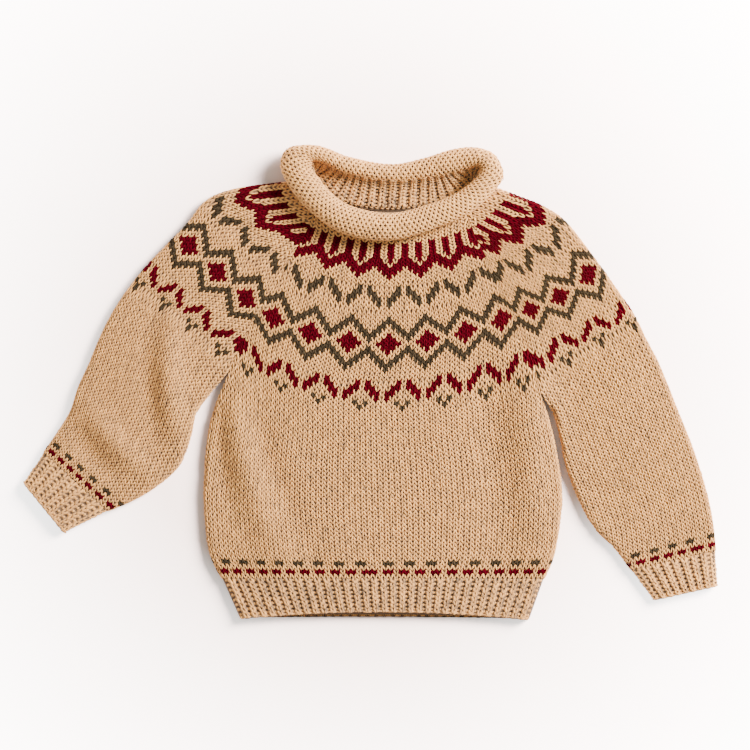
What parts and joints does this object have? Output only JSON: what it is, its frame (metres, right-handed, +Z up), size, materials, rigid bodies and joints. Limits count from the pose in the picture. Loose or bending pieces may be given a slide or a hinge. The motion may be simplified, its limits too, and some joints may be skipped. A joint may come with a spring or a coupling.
{
  "type": "child's knitted yoke sweater with rolled collar, laid flat",
  "caption": "Child's raglan sweater knitted in oatmeal wool with burgundy and olive zigzag yoke bands, ribbed hem and cuffs and a rolled collar, lying flat.",
  "frame": {"origin": "on the surface that the sweater lies on, under the middle of its box", "axes": "+Z up from the surface, +Y from the hem towards the collar, +X towards the wearer's left sleeve"},
  "size_m": [0.5936, 0.404, 0.0281],
  "materials": {
    "oatmeal_knit": "matt wool, stocking stitch",
    "oatmeal_rib": "matt wool, 1x1 rib",
    "burgundy_yarn": "matt wool",
    "olive_yarn": "matt wool"
  },
  "bodies": {
    "root": {"front": "oatmeal_knit", "back": "oatmeal_knit", "sleeve_right": "oatmeal_knit", "sleeve_left": "oatmeal_knit", "hem_front": "oatmeal_rib", "hem_back": "oatmeal_rib", "cuff_right": "oatmeal_rib", "cuff_left": "oatmeal_rib", "neckband": "oatmeal_rib", "collar_roll": "oatmeal_knit"}
  },
  "joints": []
}
